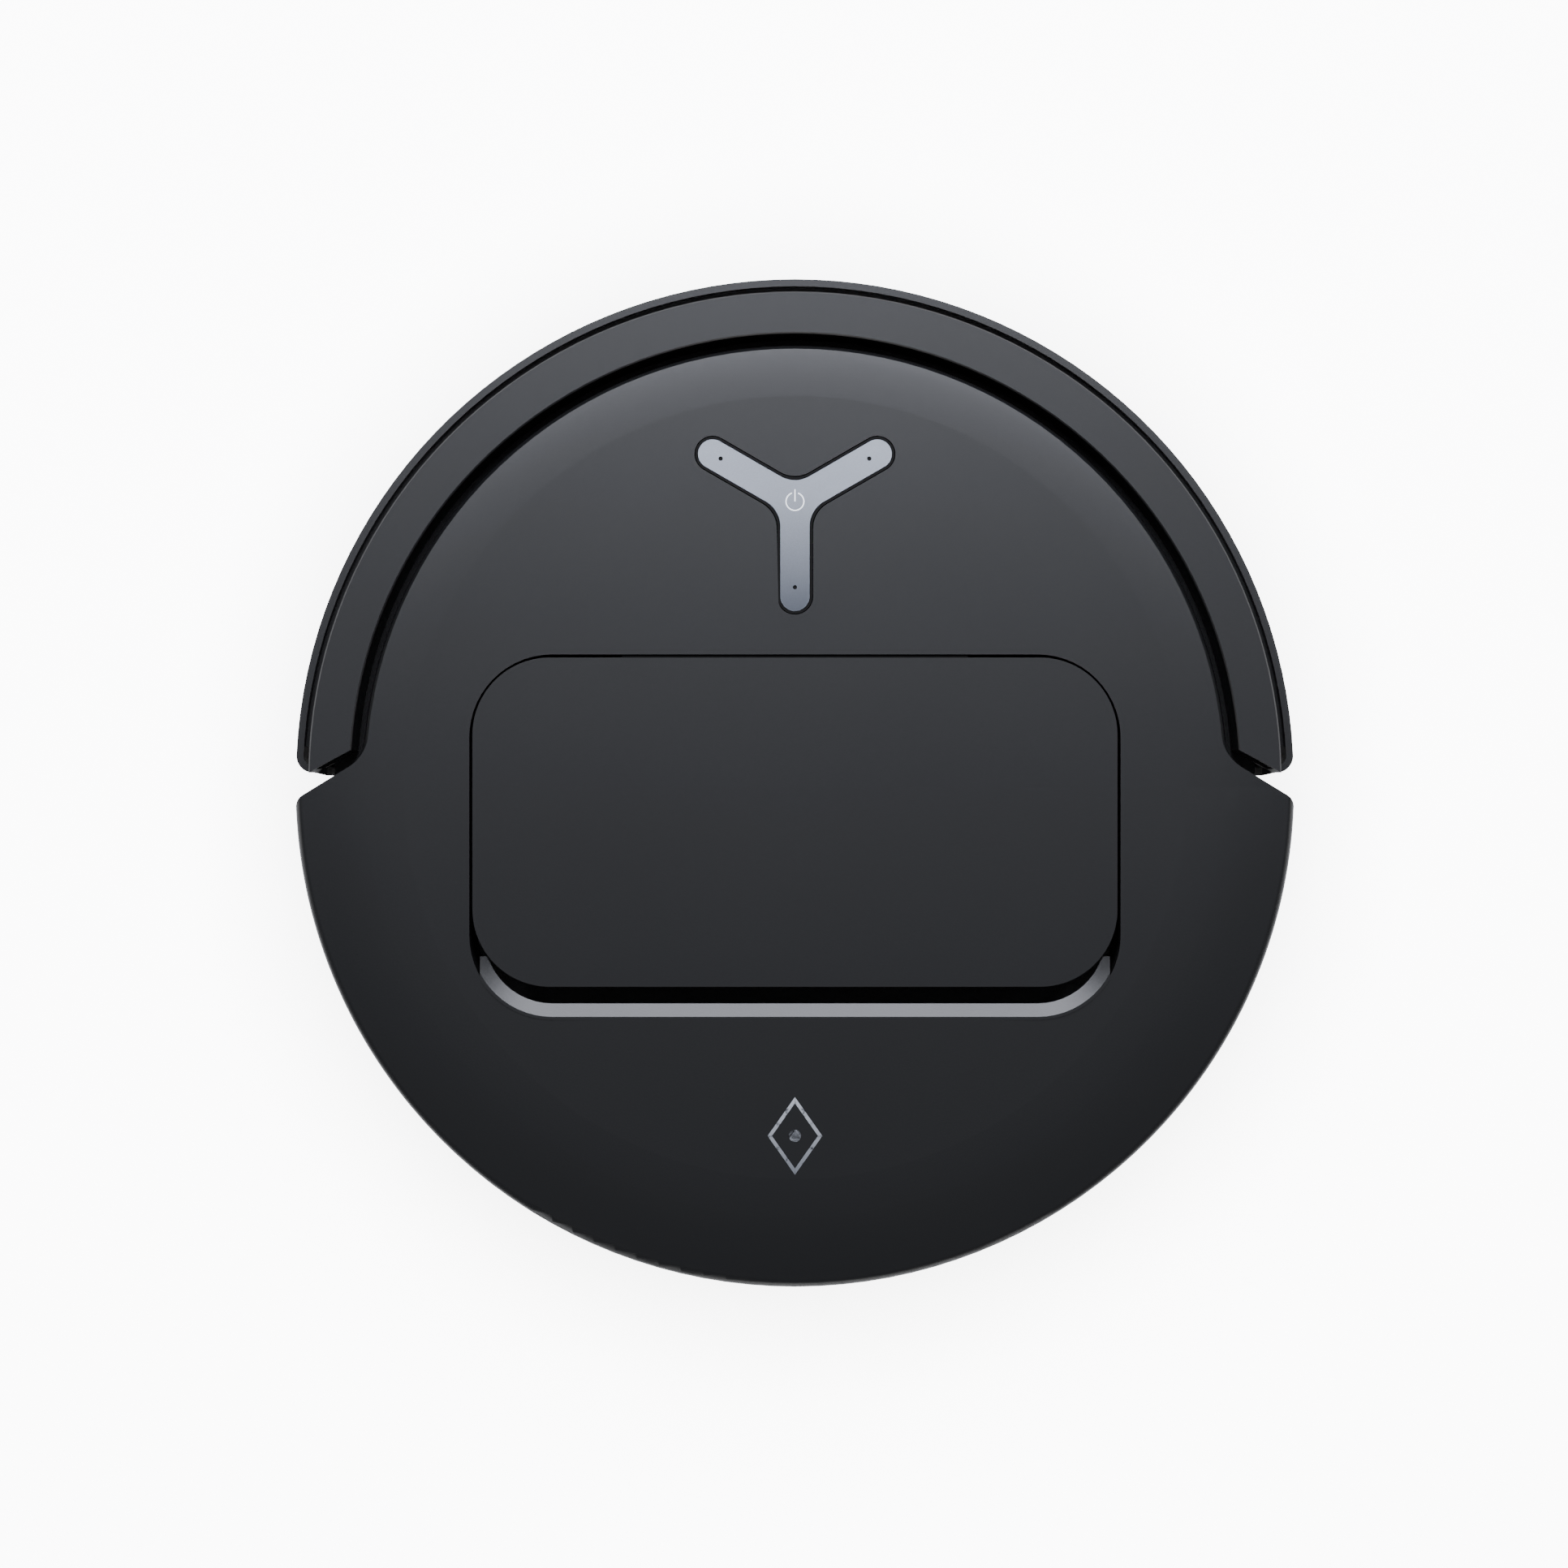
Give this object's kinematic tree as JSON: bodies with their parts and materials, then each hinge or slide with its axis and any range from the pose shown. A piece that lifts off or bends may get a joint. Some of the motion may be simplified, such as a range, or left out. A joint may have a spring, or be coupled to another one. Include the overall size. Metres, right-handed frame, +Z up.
{
  "type": "robot vacuum",
  "caption": "Low round robot vacuum and mop with a sprung front bumper, hinged bin lid, three-armed power key, drive wheels, caster, brushes and roller mop.",
  "frame": {"origin": "on the floor, at the middle of the machine's length and width", "axes": "+Z up, +Y to the front where the bumper is, +X to the machine's right"},
  "size_m": [0.3506, 0.353, 0.098],
  "materials": {
    "cover_plastic": "fine satin grain",
    "bumper_plastic": "fine satin grain",
    "shell_plastic": "matt grain",
    "base_plastic": "matt grain",
    "inner_plastic": "matt",
    "window_plastic": "gloss, infrared-clear",
    "key_metal": "fine blasted",
    "bezel_plastic": "satin",
    "mark_grey": "satin print",
    "light_white": "lit",
    "bin_plastic": "smoked, satin",
    "filter_paper": "pleated",
    "brush_rubber": "matt",
    "bristle": "bristle",
    "tyre_rubber": "matt",
    "hub_plastic": "matt",
    "caster_plastic": "satin",
    "mop_fabric": "short pile",
    "steel": "bright",
    "contact_metal": "plated",
    "board_green": "solder mask",
    "battery_wrap": "heat-shrink wrap",
    "tank_plastic": "frosted"
  },
  "bodies": {
    "root": {"arm_pins": "steel", "base_chassis": "base_plastic", "base_screws": "steel", "battery_door": "base_plastic", "battery_pack": "battery_wrap", "bin_well": "inner_plastic", "blower_housing": "inner_plastic", "blower_motor": "steel", "brush_guard": "base_plastic", "brush_housing": "inner_plastic", "brush_motor": "inner_plastic", "bumper_springs": "steel", "bumper_switches": "inner_plastic", "camera_module": "inner_plastic", "caster_socket": "inner_plastic", "charging_contacts": "contact_metal", "cliff_sensor_windows": "window_plastic", "dock_receiver_window": "window_plastic", "exhaust_grille": "base_plastic", "key_bezel": "bezel_plastic", "key_board": "board_green", "lidar_module": "inner_plastic", "main_board": "board_green", "mop_housing": "inner_plastic", "mop_motor": "steel", "rear_badge": "mark_grey", "roller_bearings": "inner_plastic", "side_brush_motor": "inner_plastic", "side_shell": "shell_plastic", "suction_duct": "inner_plastic", "top_cover": "cover_plastic", "water_tank": "tank_plastic", "wheel_cases": "inner_plastic"},
    "bumper": {"bumper_shell": "bumper_plastic", "bumper_visor": "bumper_plastic", "sensor_window": "window_plastic", "lidar_window": "window_plastic"},
    "key": {"power_key": "key_metal", "power_light_guide": "light_white"},
    "bin": {"bin_shell": "bin_plastic", "filter_frame": "hub_plastic", "bin_filter": "filter_paper", "lid_hinge_film": "brush_rubber"},
    "lid": {"bin_lid": "cover_plastic"},
    "main_brush": {"main_brush_core": "hub_plastic", "main_brush_fins": "brush_rubber"},
    "side_brush": {"side_brush_hub": "base_plastic", "side_brush_bristles": "bristle"},
    "mop_roller": {"mop_roller_core": "hub_plastic", "mop_roller_sleeve": "mop_fabric"},
    "impeller": {"blower_impeller": "hub_plastic"},
    "caster": {"caster_fork": "base_plastic", "caster_axle": "steel"},
    "caster_roll": {"caster_wheel": "caster_plastic"},
    "left_arm": {"left_wheel_arm": "inner_plastic"},
    "left_wheel": {"left_wheel_hub": "hub_plastic", "left_wheel_tyre": "tyre_rubber"},
    "right_arm": {"right_wheel_arm": "inner_plastic"},
    "right_wheel": {"right_wheel_hub": "hub_plastic", "right_wheel_tyre": "tyre_rubber"}
  },
  "joints": [
    {"name": "bumper_press", "type": "slide", "parent": "root", "child": "bumper", "axis": [0, -1, 0], "range_m": [0, 0.003], "stiffness_N_per_m": 600, "springref_m": -0.004, "deforming": ["bumper_springs"]},
    {"name": "power_key_press", "type": "slide", "parent": "root", "child": "key", "axis": [0, 0, -1], "range_m": [0, 0.0005], "stiffness_N_per_m": 900, "springref_m": -0.0008},
    {"name": "bin_lift", "type": "slide", "parent": "root", "child": "bin", "axis": [0, 0, 1], "range_m": [0, 0.12]},
    {"name": "lid_hinge", "type": "hinge", "parent": "bin", "child": "lid", "pos_m": [0, 0.0432, 0.0974], "axis": [-1, 0, 0], "range_deg": [0, 85]},
    {"name": "main_brush_spin", "type": "hinge", "parent": "root", "child": "main_brush", "pos_m": [0, 0.03, 0.0225], "axis": [1, 0, 0], "continuous": true},
    {"name": "side_brush_spin", "type": "hinge", "parent": "root", "child": "side_brush", "pos_m": [0.1, 0.104, 0.015], "axis": [0, 0, 1], "continuous": true},
    {"name": "mop_roller_spin", "type": "hinge", "parent": "root", "child": "mop_roller", "pos_m": [0, -0.12, 0.02], "axis": [1, 0, 0], "continuous": true},
    {"name": "impeller_spin", "type": "hinge", "parent": "root", "child": "impeller", "pos_m": [-0.058, -0.122, 0.07], "axis": [0, 0, 1], "continuous": true},
    {"name": "caster_swivel", "type": "hinge", "parent": "root", "child": "caster", "pos_m": [0, 0.128, 0.035], "axis": [0, 0, 1], "continuous": true},
    {"name": "caster_wheel_spin", "type": "hinge", "parent": "caster", "child": "caster_roll", "pos_m": [0, 0.12, 0.013], "axis": [1, 0, 0], "continuous": true},
    {"name": "left_suspension", "type": "hinge", "parent": "root", "child": "left_arm", "pos_m": [-0.12, 0.046, 0.034], "axis": [1, 0, 0], "range_deg": [0, 15]},
    {"name": "left_wheel_spin", "type": "hinge", "parent": "left_arm", "child": "left_wheel", "pos_m": [-0.131, 0, 0.036], "axis": [1, 0, 0], "continuous": true},
    {"name": "right_suspension", "type": "hinge", "parent": "root", "child": "right_arm", "pos_m": [0.12, 0.046, 0.034], "axis": [1, 0, 0], "range_deg": [0, 15]},
    {"name": "right_wheel_spin", "type": "hinge", "parent": "right_arm", "child": "right_wheel", "pos_m": [0.131, 0, 0.036], "axis": [1, 0, 0], "continuous": true}
  ]
}
